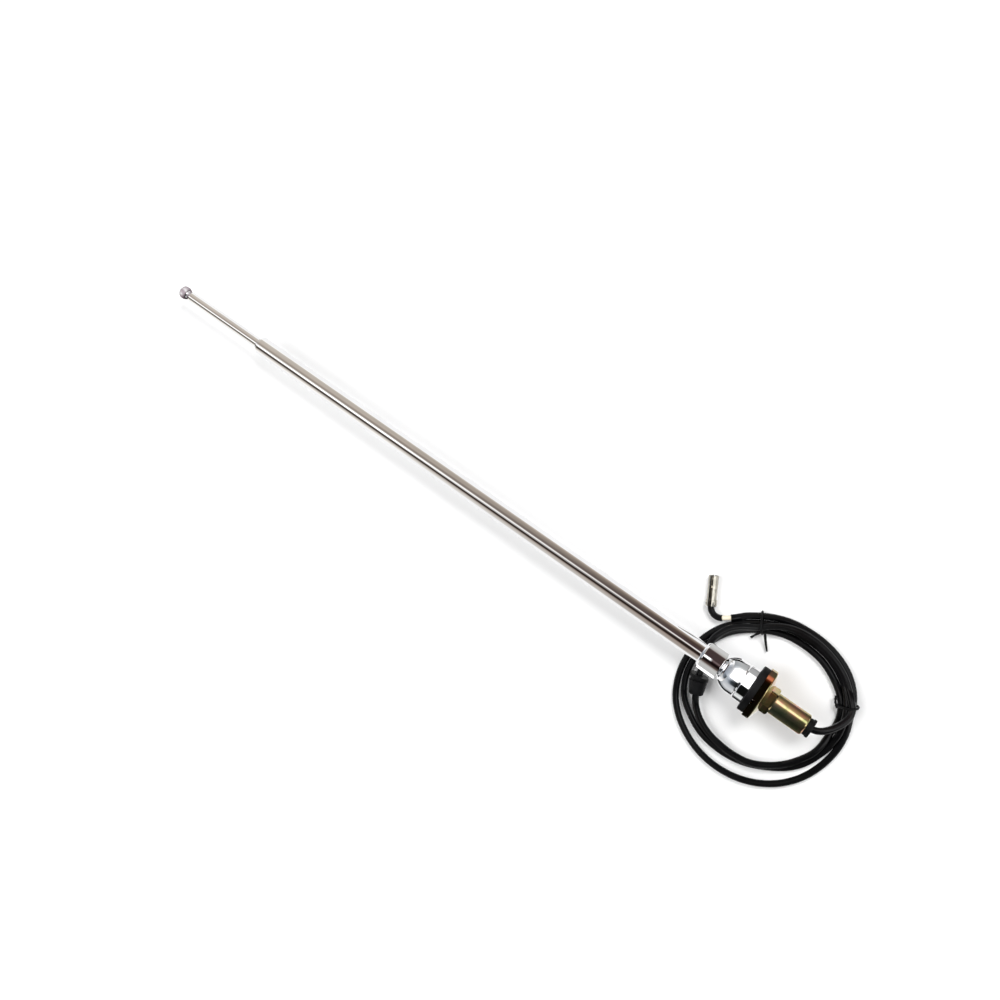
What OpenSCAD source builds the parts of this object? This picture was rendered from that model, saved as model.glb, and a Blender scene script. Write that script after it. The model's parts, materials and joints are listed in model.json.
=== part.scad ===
/* [Mast] */
// Outside diameter of the outer tube
outer_d = 18.4; // [17.4:0.1:19.4]
// Length of the outer tube in front of the ferrule
outer_reach = 528; // [300:1:650]
// Outside diameter of the middle tube
middle_d = 15; // [13.4:0.1:16]
// How far the middle tube's mouth stands out when it is pushed home
middle_show = 2.6; // [2:0.1:8]
// Outside diameter of the tip tube
tip_d = 11.2; // [10:0.1:12.6]
// Length of the tip tube in view
tip_show = 98; // [20:1:150]
// Wall of the three tubes
tube_wall = 0.7; // [0.5:0.1:0.8]
// Diameter of the ball on the tip
button_d = 13.2; // [12:0.1:17]
// Running clearance of the sliding sections, on the radius
slide_gap = 0.05; // [0.02:0.01:0.1]

/* [Swivel] */
// Diameter of the chrome dome
dome_d = 31.8; // [30:0.1:36]
// Height of the straight skirt below the dome's centre
skirt_h = 5.7; // [4:0.1:9]
// Diameter of the ferrule at the foot of the mast
ferrule_d = 25.4; // [24:0.1:26.4]
// Length of the ferrule
ferrule_len = 20.1; // [17:0.1:30]
// Thickness of the eye that the mast turns on
eye_t = 5; // [4:0.1:7]
// Width of the eye's neck
eye_w = 8; // [6:0.1:9]
// Diameter of the pivot screw
pivot_d = 5; // [4:0.1:6]
// How far the mast can tilt, in degrees
swing = 60; // [30:1:60]
// Gap between the dome and the ferrule's cup
cup_gap = 0.3; // [0.2:0.05:0.5]

/* [Base] */
// Diameter of the chrome collar
collar_d = 33.2; // [32:0.1:38]
// Height of the chrome collar
collar_h = 8.8; // [8:0.1:14]
// Diameter of the rubber gasket
gasket_d = 43.6; // [43.3:0.1:47]
// Thickness of the rubber gasket
gasket_h = 6; // [3:0.1:9]
// Diameter of the claw washer
washer_d = 47.6; // [47.6:0.1:56]
// Height of the claw washer's rim
rim_h = 6.5; // [5:0.1:9]
// Depth of the claw washer's dish behind the rim
dish_h = 3.3; // [2.5:0.1:6]
// Thickness of the claw washer
washer_t = 1.9; // [1.6:0.1:1.9]
// Number of claws on the rim
claws = 3; // [3:1:12]
// Diameter of the mounting stem's thread
stem_d = 16; // [15:0.1:17]
// Size of the nut across its flats
nut_af = 22; // [20:0.1:26]
// Height of the nut
nut_h = 6.6; // [4:0.1:9]

/* [Under the wing] */
// Diameter of the tube under the wing
tube_d = 19.8; // [19.4:0.1:24]
// Length of the tube under the wing
tube_len = 31.8; // [30:0.1:50]
// Wall of the tube under the wing
can_wall = 1; // [0.8:0.1:1.2]
// Diameter of the rubber gland
gland_d = 17.2; // [15:0.1:19]
// Length of the gland outside the tube
gland_h = 5.1; // [3:0.1:8]

/* [Cable] */
// Diameter of the coaxial cable
cable_d = 6.1; // [5.9:0.1:6.3]
// Outside radius of the coil
coil_r = 77; // [76:0.5:78]
// Inside radius of the coil
coil_bore_r = 55.5; // [54.5:0.5:56.5]
// Width of the twist ties
tie_w = 2.2; // [1.8:0.1:2.6]
// Thickness of the twist ties
tie_t = 1; // [0.8:0.1:1.2]
// Diameter of the grommet's flange
grommet_d = 17; // [16:0.1:17.6]
// Diameter of the black boot behind the plug
boot_d = 5.6; // [5.2:0.1:6.2]

/* [Plug] */
// Diameter of the plug's shell
plug_d = 8.8; // [8.4:0.1:9.6]
// Length of the plug's shell
plug_len = 23.4; // [22:0.1:26]
// Length of the slots in the plug's mouth
prong_len = 10.5; // [8:0.1:12]
// Diameter of the plug's pin
pin_d = 3.2; // [2.6:0.1:3.6]

/* [Hidden] */
$fn = 72;
// how far a cut runs past the face it opens
eps = 0.1;

// Small clearances of the fixed joints, on the radius
seat_gap = 0.05;
loose_gap = 0.3;

// Stations along the mast's axis, from the wing side of the gasket
collar_top = gasket_h + collar_h;
groove_h = 0.8;
dome_base = collar_top + groove_h;
hinge_s = dome_base + skirt_h;
dome_r = dome_d / 2;
cup_r = dome_r + cup_gap;
ferrule_r = ferrule_d / 2;
// the ferrule's flat end stands where the dome is narrower than the ferrule
ferrule_s = hinge_s + 0.862 * dome_r;
ferrule_end = ferrule_s + ferrule_len;
// metal left between the cup and the tube's seat
ferrule_web = 4.6;
shoulder_len = 4.4;
shoulder_drop = 2.8;
tube_seat = hinge_s + cup_r + ferrule_web;
outer_r = outer_d / 2;
outer_bore = outer_r - tube_wall;
outer_top = ferrule_end + outer_reach;
middle_r = middle_d / 2;
middle_bore = middle_r - tube_wall;
middle_foot = ferrule_end + loose_gap;
middle_top = outer_top + middle_show;
tip_r = tip_d / 2;
tip_bore = tip_r - tube_wall;
tip_top = middle_top + tip_show;
// the tip tube stays a little clear of the root plug when it is pushed home
tip_foot = ferrule_end + tip_show + 4;
// length of the rolled mouths and of the split bushes
mouth_len = 1.6;
bush_len = 10;
bush_slot = 1.2;

// Ball on the tip
button_r = button_d / 2;
neck_r = 0.35 * tip_d;
neck_len = 3;
button_s = tip_top + neck_len + 0.87 * button_r;
button_plug = 10;

// Eye, its friction washer and the slot that they turn in
eye_r = 7.5;
washer_gap = 0.1;
friction_t = 0.8;
friction_r = 6;
slot_t = eye_t + friction_t + 3 * washer_gap;
slot_mid = (friction_t + washer_gap) / 2;
stop_gap = 0.3;
pivot_r = pivot_d / 2;
screw_head_r = pivot_r + 1.9;
screw_head_h = 2.6;
screw_head_x = dome_r - 0.6;
screw_tip_x = 11;
driver_w = 1.2;

// Inside of the collar
stem_r = stem_d / 2;
collar_r = collar_d / 2;
lip_h = 1.9;
head_r = collar_r - 2.3;
head_h = 2.4;
neck_in_r = head_r - 2.8;
stem_bore = stem_r - 1.8;
spigot_r = 3.5;
rod_r = 1.5;
spigot_s = -6;
bush_foot = -20;
lip_bottom = collar_top - lip_h;
edge = 0.8;

// Behind the wing
gasket_r = gasket_d / 2;
washer_r = washer_d / 2;
claw_gap_w = 5;
claw_gap_h = 2.2;
hub_r = 13;
// angle of one claw gap, measured from straight up towards +Y
claw_turn = 10;
washer_back = -rim_h - dish_h;
nut_end = washer_back - nut_h;
tube_r = tube_d / 2;
tube_end = nut_end - tube_len;
stem_end = nut_end - 8;
tube_round = 2.4;
tube_floor = 2;
gland_r = gland_d / 2;
gland_hole = 5.5;
bead_r = 6.6;
gland_end = tube_end - gland_h;
cable_r = cable_d / 2;
cable_bore = cable_r + 0.1;
// the cable's braid is crimped this far inside the tube's end
crimp_in = 12.2;
cable_start = tube_end + crimp_in;
crimp_len = 6;
// the nut's corner that faces up leans towards -Y
nut_turn = -14;

// The whole aerial lies on its claw washer, centred over the origin
axis_h = washer_r;
tip_end = button_s + button_r;
seat_x = -(tip_end + gland_end) / 2;

// Coil of the cable, from the foot of the wing seat
coil_x = -7.6;
coil_y = 8.5;
coil_bore_y = 5.5;
layer_h = 6.2;
upper_h = 5.2;
upper_in = 64.5;
upper_out = 75.5;
upper_from = -152;
upper_to = -14;
tie_top_at = -57.4;
tie_right_at = -149;
tie_slack = 0.2;
tie_foot = 0.1;
knot_r = 1.9;
tail_z = 5;
short_tail = 9;
long_tail = 16;
stub_tail = 5;

// Grommet on the inmost turn
grommet_x = 46.9;
grommet_y = 21.4;
grommet_z = grommet_d / 2 + 0.1;
grommet_turn = 112.5;
flange_t = 3.4;
grommet_len = 17.3;
grommet_body_r = 7.2;
grommet_end_r = 5.4;
grommet_gap = 0.4;
stub_from = -6;
stub_to = 25;

// Lead from the gland up to the coil's upper turn, from the foot of the wing seat
// with each point's height as a share of the drop from the gland to the coil's upper layer
lead_low = 8.1;
lead_plan = [[cable_start, 0, 1], [tube_end + 2.2, 0, 1], [gland_end - 1.7, 0, 0.987], [-61.2, -1.8, 0.911],
  [-66.6, -6.6, 0.72], [-70.4, -13.6, 0.452], [-71.9, -21.4, 0.172], [-70.9, -28.6, 0.013], [-67.6, -35.4, 0],
  [-63.4, -40.4, 0]];
lead_route = [for (p = lead_plan) [p[0], p[1], lead_low + p[2] * (axis_h - lead_low)]];
lead_sides = 12;
lead_steps = 2;

// Plug and what joins it to the coil
plug_x = 72.1;
plug_y = -34.9;
plug_turn = -62.6;
clamp_r = plug_d / 2 + 0.5;
plug_z = clamp_r + 0.1;
clamp_len = 5.4;
shell_from = 3.8;
shell_wall = 0.7;
shell_r = plug_d / 2;
prong_w = 1.1;
window_w = 3;
window_from = 7;
window_to = 15.5;
pin_from = 6;
pin_short = 2.4;
insulator_from = 15.7;
insulator_t = 2.4;
core_r = 2.1;
core_len = 10.5;
core_seen = 7.4;
boot_bend = 9.3;
boot_turn = 99.5;
boot_tail = 3;
clamp_from = 0.3;

// Local Z runs along the mast from the wing side of the gasket, and local -X points up
module on_axis() {
  translate([seat_x, 0, axis_h]) rotate([0, 90, 0]) children();
}

// Local Z is up, from the foot of the wing seat
module on_floor() {
  translate([seat_x, 0, 0]) children();
}

module tube(from, to, r_out, r_in) {
  translate([0, 0, from]) difference() {
    cylinder(h = to - from, r = r_out);
    translate([0, 0, -eps]) cylinder(h = to - from + 2 * eps, r = r_in);
  }
}

// A thin tube with its far mouth rolled in over the section that slides in it
module mast_section(from, to, r_out, r_in, mouth_r) {
  round_r = r_out - r_in;
  rotate_extrude() polygon([[r_in, from], [r_out, from], [r_out, to - round_r], [r_out - 0.3 * round_r, to - 0.3 * round_r],
    [r_out - round_r, to], [mouth_r, to], [mouth_r, to - mouth_len], [r_in, to - mouth_len]]);
}

// A split ring that springs outwards in the tube it slides in
module split_bush(from, r_out, r_in) {
  difference() {
    tube(from, from + bush_len, r_out, r_in);
    for (a = [0:90:270]) rotate([0, 0, a])
      translate([0, -bush_slot / 2, from + 2]) cube([r_out + eps, bush_slot, bush_len]);
  }
}

module tip_button() {
  color("gainsboro") on_axis() {
    translate([0, 0, button_s]) sphere(r = button_r);
    translate([0, 0, tip_top]) cylinder(h = button_s - tip_top, r = neck_r);
    translate([0, 0, tip_top - button_plug]) cylinder(h = button_plug, r = tip_bore);
  }
}

module tip_tube() {
  color("rosybrown") on_axis() tube(tip_foot, tip_top, tip_r, tip_bore);
}

module tip_bush() {
  color("goldenrod") on_axis() split_bush(tip_foot, middle_bore - slide_gap, tip_r);
}

module middle_tube() {
  color("tan") on_axis() mast_section(middle_foot, middle_top, middle_r, middle_bore, tip_r + slide_gap);
}

module middle_bush() {
  color("goldenrod") on_axis() split_bush(middle_foot, outer_bore - slide_gap, middle_r);
}

module outer_tube() {
  color("rosybrown") on_axis() mast_section(tube_seat, outer_top, outer_r, outer_bore, middle_r + slide_gap);
}

module mast_ferrule() {
  color("silver") on_axis() difference() {
    rotate_extrude() polygon(concat(
      [[0, ferrule_s], [ferrule_r - edge, ferrule_s], [ferrule_r, ferrule_s + edge]],
      [for (a = [0:15:90]) [ferrule_r - shoulder_drop * (1 - cos(a)), ferrule_end - shoulder_len * (1 - sin(a))]],
      [[0, ferrule_end]]));
    translate([0, 0, hinge_s]) sphere(r = cup_r);
    translate([0, 0, tube_seat]) cylinder(h = ferrule_len, r = outer_r + seat_gap);
    translate([-(eye_t / 2 + seat_gap), -(eye_w / 2 + seat_gap), hinge_s])
      cube([eye_t + 2 * seat_gap, eye_w + 2 * seat_gap, ferrule_len + dome_r]);
  }
}

// Flat eye on the pivot, with a root plug that fills the foot of the outer tube
module swivel_eye() {
  color("darkkhaki") on_axis() difference() {
    union() {
      translate([-eye_t / 2, 0, hinge_s]) rotate([0, 90, 0]) cylinder(h = eye_t, r = eye_r);
      translate([-eye_t / 2, -eye_w / 2, hinge_s]) cube([eye_t, eye_w, tube_seat - hinge_s + 1]);
      translate([0, 0, tube_seat]) cylinder(h = ferrule_end - tube_seat, r = outer_bore - seat_gap);
    }
    translate([-eye_t, 0, hinge_s]) rotate([0, 90, 0]) cylinder(h = 2 * eye_t, r = pivot_r + seat_gap);
  }
}

module pivot_screw() {
  color("dimgray") on_axis() translate([0, 0, hinge_s]) rotate([0, 90, 0]) difference() {
    union() {
      translate([0, 0, -screw_tip_x]) cylinder(h = screw_tip_x + screw_head_x, r = pivot_r);
      translate([0, 0, screw_head_x - screw_head_h]) cylinder(h = screw_head_h, r = screw_head_r);
    }
    translate([-driver_w / 2, -screw_head_r - eps, screw_head_x - 1.2])
      cube([driver_w, 2 * screw_head_r + 2 * eps, 2]);
  }
}

module friction_washer() {
  washer_x = eye_t / 2 + washer_gap;
  color("silver") on_axis() translate([washer_x, 0, hinge_s]) rotate([0, 90, 0])
    tube(0, friction_t, friction_r, pivot_r + seat_gap);
}

// Outline that the eye and its neck sweep in the plane of the tilt, on the -Y side only
module slot_outline() {
  reach = dome_r + 3;
  half = eye_w / 2 + stop_gap;
  circle(r = eye_r + loose_gap);
  for (a = [0, swing]) rotate(a) translate([0, -half]) square([reach, 2 * half]);
  polygon([[0, 0], [reach, 0], [reach, reach * tan(swing / 2)], [reach * cos(swing), reach * sin(swing)]]);
}

// The outline's first axis runs along the mast and its second towards -Y
module swivel_slot() {
  translate([slot_mid - slot_t / 2, 0, hinge_s]) rotate([0, 90, 0]) rotate([0, 0, 180])
    linear_extrude(height = slot_t) slot_outline();
}

module swivel_dome() {
  color("gainsboro") on_axis() difference() {
    union() {
      intersection() {
        translate([0, 0, hinge_s]) sphere(r = dome_r);
        translate([0, 0, hinge_s]) cylinder(h = dome_r, r = dome_r);
      }
      translate([0, 0, dome_base + edge / 2]) cylinder(h = skirt_h - edge / 2, r = dome_r);
      translate([0, 0, dome_base]) cylinder(h = edge / 2, r1 = dome_r - edge / 2, r2 = dome_r);
      translate([0, 0, lip_bottom]) cylinder(h = dome_base - lip_bottom, r = neck_in_r);
      translate([0, 0, spigot_s]) cylinder(h = lip_bottom - spigot_s, r = spigot_r);
    }
    swivel_slot();
    translate([-screw_tip_x - loose_gap, 0, hinge_s]) rotate([0, 90, 0])
      cylinder(h = screw_tip_x + loose_gap + dome_d, r = pivot_r + seat_gap);
    translate([screw_head_x - screw_head_h, 0, hinge_s]) rotate([0, 90, 0])
      cylinder(h = dome_d, r = screw_head_r + seat_gap);
  }
}

module base_collar() {
  color("gainsboro") on_axis() rotate_extrude() polygon([[head_r + seat_gap, gasket_h],
    [collar_r - edge, gasket_h], [collar_r, gasket_h + edge], [collar_r, collar_top - edge],
    [collar_r - edge, collar_top], [neck_in_r + seat_gap, collar_top], [neck_in_r + seat_gap, lip_bottom],
    [head_r + seat_gap, lip_bottom]]);
}

module rubber_gasket() {
  color([0.09, 0.09, 0.1]) on_axis() rotate_extrude() polygon([[stem_r + seat_gap, 0], [gasket_r, 0],
    [gasket_r, gasket_h - edge], [gasket_r - edge, gasket_h], [stem_r + seat_gap, gasket_h]]);
}

module mounting_stem() {
  color("olive") on_axis() difference() {
    union() {
      translate([0, 0, gasket_h]) cylinder(h = head_h, r = head_r);
      translate([0, 0, stem_end]) cylinder(h = gasket_h - stem_end + 1, r = stem_r);
    }
    translate([0, 0, stem_end - eps]) cylinder(h = gasket_h - stem_end + head_h + 2 * eps, r = stem_bore);
  }
}

module insulator_bush() {
  flange_s = gasket_h + head_h;
  color("ivory") on_axis() difference() {
    union() {
      translate([0, 0, flange_s]) cylinder(h = lip_bottom - flange_s, r = head_r);
      translate([0, 0, bush_foot]) cylinder(h = flange_s - bush_foot + 1, r = stem_bore - seat_gap);
    }
    translate([0, 0, spigot_s]) cylinder(h = lip_bottom - spigot_s + eps, r = spigot_r + seat_gap);
    translate([0, 0, bush_foot - eps]) cylinder(h = spigot_s - bush_foot + 2 * eps, r = rod_r + seat_gap);
  }
}

module contact_rod() {
  color("goldenrod") on_axis() translate([0, 0, cable_start]) cylinder(h = spigot_s - cable_start, r = rod_r);
}

// Dished washer, with gaps in its rim that leave the claws between them
module claw_washer() {
  color("darkgoldenrod") on_axis() difference() {
    rotate_extrude() polygon([[washer_r - washer_t, 0], [washer_r, 0], [washer_r, -rim_h],
      [washer_r - edge, -rim_h - edge / 2], [hub_r, washer_back], [stem_r + seat_gap, washer_back],
      [stem_r + seat_gap, washer_back + washer_t], [hub_r - 1, washer_back + washer_t],
      [washer_r - washer_t, -rim_h + 0.6]]);
    for (i = [0:claws - 1]) rotate([0, 0, i * 360 / claws + 180 - claw_turn])
      translate([0, -claw_gap_w / 2, -claw_gap_h]) cube([washer_d, claw_gap_w, claw_gap_h + 1]);
  }
}

module clamp_nut() {
  corner_r = nut_af / 2 / cos(30);
  color("goldenrod") on_axis() rotate([0, 0, nut_turn]) difference() {
    intersection() {
      translate([0, 0, nut_end]) cylinder(h = nut_h, r = corner_r, $fn = 6);
      translate([0, 0, nut_end]) cylinder(h = nut_h, r1 = nut_af / 2 + 0.5, r2 = nut_af / 2 + 0.5 + nut_h);
    }
    translate([0, 0, nut_end - eps]) cylinder(h = nut_h + 2 * eps, r = stem_r + seat_gap);
  }
}

module underwing_tube() {
  inner_r = tube_r - can_wall;
  color("darkkhaki") on_axis() rotate_extrude() polygon(concat(
    [[stem_r + seat_gap, stem_end], [stem_r + seat_gap, nut_end], [tube_r, nut_end]],
    [for (a = [0:-15:-90]) [tube_r - tube_round + tube_round * cos(a), tube_end + tube_round + tube_round * sin(a)]],
    [[gland_hole, tube_end], [gland_hole, tube_end + tube_floor], [inner_r - 1.4, tube_end + tube_floor],
      [inner_r, tube_end + tube_floor + 1.4], [inner_r, stem_end]]));
}

module crimp_sleeve() {
  color("goldenrod") on_axis() tube(cable_start - crimp_len, cable_start, cable_r + 0.8, cable_r + seat_gap);
}

module cable_gland() {
  color([0.08, 0.08, 0.09]) on_axis() rotate_extrude() polygon([[cable_bore, gland_end], [gland_r - edge, gland_end],
    [gland_r, gland_end + edge], [gland_r, tube_end], [gland_hole - seat_gap, tube_end],
    [gland_hole - seat_gap, tube_end + tube_floor], [bead_r, tube_end + tube_floor + seat_gap],
    [cable_bore + 1, tube_end + tube_floor + 2], [cable_bore, tube_end + tube_floor + 2]]);
}

// Smooth point between b and c of the route, at t from 0 to 1
function between(a, b, c, d, t) = 0.5 * (2 * b + (c - a) * t + (2 * a - 5 * b + 4 * c - d) * t * t
  + (3 * b - a - 3 * c + d) * t * t * t);
function spread(p, steps) = concat([for (i = [0:len(p) - 2], k = [0:steps - 1])
  between(p[max(i - 1, 0)], p[i], p[i + 1], p[min(i + 2, len(p) - 1)], k / steps)], [p[len(p) - 1]]);
function unit(v) = v / norm(v);
function heading(p, i) = unit(p[min(i + 1, len(p) - 1)] - p[max(i - 1, 0)]);
function side_of(h) = unit(cross([0, 0, 1], h));
function ring_points(p, i, r, n) = let (h = heading(p, i), s = side_of(h), u = cross(h, s))
  [for (j = [0:n - 1]) p[i] + r * cos(360 * j / n) * s + r * sin(360 * j / n) * u];

// A round tube swept along a route
module swept_tube(route, r, n, steps) {
  p = spread(route, steps);
  rings = len(p);
  points = [for (i = [0:rings - 1]) each ring_points(p, i, r, n)];
  walls = [for (i = [0:rings - 2], j = [0:n - 1])
    [i * n + j, (i + 1) * n + j, (i + 1) * n + (j + 1) % n, i * n + (j + 1) % n]];
  ends = [[for (j = [0:n - 1]) j], [for (j = [n - 1:-1:0]) (rings - 1) * n + j]];
  polyhedron(points = points, faces = concat(walls, ends), convexity = 6);
}

module cable_lead() {
  color([0.08, 0.08, 0.09]) on_floor() swept_tube(lead_route, cable_r, lead_sides, lead_steps);
}

// Local X runs outwards across the coil at the given angle
module at_coil(angle) {
  translate([coil_x, coil_y, 0]) rotate([0, 0, angle]) children();
}

module at_grommet() {
  translate([grommet_x, grommet_y, grommet_z]) rotate([0, 90, grommet_turn]) children();
}

module at_plug() {
  translate([plug_x, plug_y, plug_z]) rotate([0, 90, plug_turn]) children();
}

function inner_edge(angle) = coil_bore_r - (coil_bore_y - coil_y) * -sin(angle);

// Closed outer shape of the turns, one layer high with an upper turn on the -Y side
module cable_coil() {
  color([0.08, 0.08, 0.09]) on_floor() {
    difference() {
      union() {
        at_coil(0) cylinder(h = layer_h, r = coil_r);
        at_coil(upper_from) rotate_extrude(angle = upper_to - upper_from)
          translate([upper_in, 0]) square([upper_out - upper_in, layer_h + upper_h]);
      }
      translate([coil_x, coil_bore_y, -eps]) cylinder(h = layer_h + 2 * eps, r = coil_bore_r);
      for (a = [tie_top_at, tie_right_at]) at_coil(a)
        translate([0, -tie_w / 2 - tie_slack, -eps]) cube([2 * coil_r, tie_w + 2 * tie_slack, tie_t + tie_foot + eps]);
      at_grommet() translate([0, 0, -flange_t / 2 - grommet_gap])
        cylinder(h = flange_t + 2 * grommet_gap, r = grommet_d / 2 + grommet_gap);
      at_grommet() cylinder(h = flange_t / 2 + grommet_len + grommet_gap, r = grommet_body_r + grommet_gap);
      at_boot_start() translate([-boot_bend, -boot_d / 2 - 1, -core_seen])
        cube([2 * boot_bend, 2 * boot_bend, 3 * boot_bend]);
    }
    at_grommet() translate([0, 0, stub_from]) cylinder(h = stub_to - stub_from, r = cable_r);
  }
}

module wing_grommet() {
  color([0.1, 0.1, 0.11]) on_floor() at_grommet() difference() {
    union() {
      translate([0, 0, -flange_t / 2]) cylinder(h = flange_t, r = grommet_d / 2);
      translate([0, 0, flange_t / 2]) cylinder(h = grommet_len, r1 = grommet_body_r, r2 = grommet_end_r);
    }
    translate([0, 0, -flange_t]) cylinder(h = grommet_len + 3 * flange_t, r = cable_bore);
  }
}

// Closed band round the coil's section, with its foot in the coil's groove
module tie_band(angle, top) {
  r_in = inner_edge(angle) - tie_slack;
  r_out = coil_r + tie_slack;
  at_coil(angle) translate([0, -tie_w / 2, 0]) difference() {
    translate([r_in - tie_t, 0, 0]) cube([r_out - r_in + 2 * tie_t, tie_w, top + tie_slack + tie_t]);
    translate([r_in, -eps, tie_t]) cube([r_out - r_in, tie_w + 2 * eps, top + tie_slack - tie_t]);
  }
}

module tie_tail(angle, turn, length) {
  at_coil(angle) translate([inner_edge(angle) - tie_slack - tie_t / 2, 0, tail_z]) rotate([0, 90, turn - angle])
    cylinder(h = length, r = tie_w / 2);
}

module tie_knot(angle) {
  at_coil(angle) translate([inner_edge(angle) - tie_slack - knot_r, 0, tail_z - knot_r / 2])
    cylinder(h = 1.5 * knot_r, r = knot_r);
}

module tie_top() {
  color([0.06, 0.06, 0.06]) on_floor() {
    tie_band(tie_top_at, layer_h + upper_h);
    tie_knot(tie_top_at);
    tie_tail(tie_top_at, 62, short_tail);
    tie_tail(tie_top_at, 128, long_tail);
  }
}

module tie_right() {
  color([0.06, 0.06, 0.06]) on_floor() {
    tie_band(tie_right_at, layer_h + upper_h);
    tie_knot(tie_right_at);
    tie_tail(tie_right_at, 78, stub_tail);
  }
}

// Origin where the boot's bend starts, with local Z along the boot there
module at_boot_start() {
  at_plug() translate([0, boot_bend * cos(boot_turn) - boot_bend, -boot_bend * sin(boot_turn)])
    rotate([-boot_turn, 0, 0]) children();
}

module core_sleeve() {
  color("ivory") on_floor() at_boot_start() translate([0, 0, -core_len]) cylinder(h = core_len, r = core_r);
}

// A bend from the ivory sleeve round into the clamp, with a slightly thinner tail in the clamp
module plug_boot() {
  boot_r = boot_d / 2;
  color([0.07, 0.07, 0.08]) on_floor() at_plug() {
    translate([0, -boot_bend, 0]) rotate([0, 90, 0]) rotate([0, 0, 90 - boot_turn])
      rotate_extrude(angle = boot_turn) translate([boot_bend, 0]) circle(r = boot_r);
    translate([0, 0, -0.8]) cylinder(h = 0.8 + boot_tail, r = boot_r - 0.1);
  }
}

module plug_clamp() {
  color("silver") on_floor() at_plug() difference() {
    tube(clamp_from, clamp_from + clamp_len, clamp_r, boot_d / 2 - seat_gap);
    translate([-clamp_r - eps, -0.8, clamp_from - eps]) cube([clamp_r, 1.6, clamp_len + 2 * eps]);
    for (a = [60, 300]) rotate([0, 0, a]) translate([-clamp_r - 0.6, 0, 2.6]) rotate([0, 90, 0])
      cylinder(h = 1.2, r = 1.1);
  }
}

module plug_shell() {
  color("silver") on_floor() at_plug() difference() {
    tube(clamp_from + clamp_len, shell_from + plug_len, shell_r, shell_r - shell_wall);
    for (a = [0:90:270]) rotate([0, 0, a])
      translate([-shell_r - eps, -prong_w / 2, shell_from + plug_len - prong_len]) cube([shell_r, prong_w, prong_len + 1]);
    translate([-shell_r - eps, -window_w / 2 + 0.8, window_from]) cube([shell_r, window_w, window_to - window_from]);
  }
}

module plug_pin() {
  tip_at = shell_from + plug_len - pin_short;
  color("gold") on_floor() at_plug() {
    translate([0, 0, pin_from]) cylinder(h = tip_at - pin_d / 2 - pin_from, r = pin_d / 2);
    translate([0, 0, tip_at - pin_d / 2]) sphere(r = pin_d / 2);
  }
}

module plug_insulator() {
  color("ivory") on_floor() at_plug()
    tube(insulator_from, insulator_from + insulator_t, shell_r - shell_wall - seat_gap, pin_d / 2 + seat_gap);
}

tip_button();
tip_tube();
tip_bush();
middle_tube();
middle_bush();
outer_tube();
mast_ferrule();
swivel_eye();
pivot_screw();
friction_washer();
swivel_dome();
base_collar();
rubber_gasket();
mounting_stem();
insulator_bush();
contact_rod();
claw_washer();
clamp_nut();
underwing_tube();
crimp_sleeve();
cable_gland();
cable_lead();
cable_coil();
wing_grommet();
tie_top();
tie_right();
core_sleeve();
plug_boot();
plug_clamp();
plug_shell();
plug_pin();
plug_insulator();
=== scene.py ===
import json
import math

import bmesh
import bpy
from mathutils import Matrix, Vector


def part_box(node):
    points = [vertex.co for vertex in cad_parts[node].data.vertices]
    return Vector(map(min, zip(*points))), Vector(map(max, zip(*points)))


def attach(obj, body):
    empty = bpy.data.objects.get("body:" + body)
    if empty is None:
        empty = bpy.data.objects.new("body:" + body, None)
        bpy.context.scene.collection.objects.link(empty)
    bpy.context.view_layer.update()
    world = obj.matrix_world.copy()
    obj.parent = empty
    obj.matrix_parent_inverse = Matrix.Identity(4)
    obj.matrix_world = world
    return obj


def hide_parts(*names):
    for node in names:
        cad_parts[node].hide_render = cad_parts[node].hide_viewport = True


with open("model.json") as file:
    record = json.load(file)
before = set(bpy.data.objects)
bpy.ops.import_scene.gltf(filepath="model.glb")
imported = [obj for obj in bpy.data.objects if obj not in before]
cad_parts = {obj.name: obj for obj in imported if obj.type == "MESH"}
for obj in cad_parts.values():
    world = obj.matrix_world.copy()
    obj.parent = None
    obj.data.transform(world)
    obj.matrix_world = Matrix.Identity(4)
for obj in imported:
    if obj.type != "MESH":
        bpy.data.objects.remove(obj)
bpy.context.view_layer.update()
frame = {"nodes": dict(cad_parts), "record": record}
mm = 0.001


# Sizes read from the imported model, in millimetres
def boxOf(node):
    low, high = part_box(node)
    return low / mm, high / mm


seatX = boxOf("rubber_gasket")[0].x  # wing side of the gasket: station 0 of every turned piece
axisZ = (boxOf("outer_tube")[0].z + boxOf("outer_tube")[1].z) / 2


def turnedSize(node):
    low, high = boxOf(node)
    return low.x - seatX, high.x - seatX, (high.y - low.y) / 2


print("frame loaded: axis %.1f mm above the floor" % axisZ)


# Camera, matched to the photograph

cameraPlan = {
    "place": (-298.65, -210.08, 891.57),
    "forward": (0.27884, 0.21637, -0.93564),
    "right": (-0.78923, -0.50346, -0.35164),
    "focal": 36.0,
    "sensor": 36.0,
    "clip": (0.05, 20),
}


def makeCamera(plan):
    cameraData = bpy.data.cameras.new("photoCamera")
    cameraData.lens = plan["focal"]
    cameraData.sensor_width = plan["sensor"]
    cameraData.clip_start, cameraData.clip_end = plan["clip"]
    camera = bpy.data.objects.new("photoCamera", cameraData)
    forward = Vector(plan["forward"]).normalized()
    right = Vector(plan["right"]).normalized()
    up = right.cross(forward)
    turn = Matrix((right, up, -forward)).transposed().to_4x4()
    camera.matrix_world = Matrix.Translation(Vector(plan["place"]) * mm) @ turn
    bpy.context.scene.collection.objects.link(camera)
    bpy.context.scene.camera = camera


makeCamera(cameraPlan)
bpy.context.scene.view_settings.view_transform = "Standard"


# Materials

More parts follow.
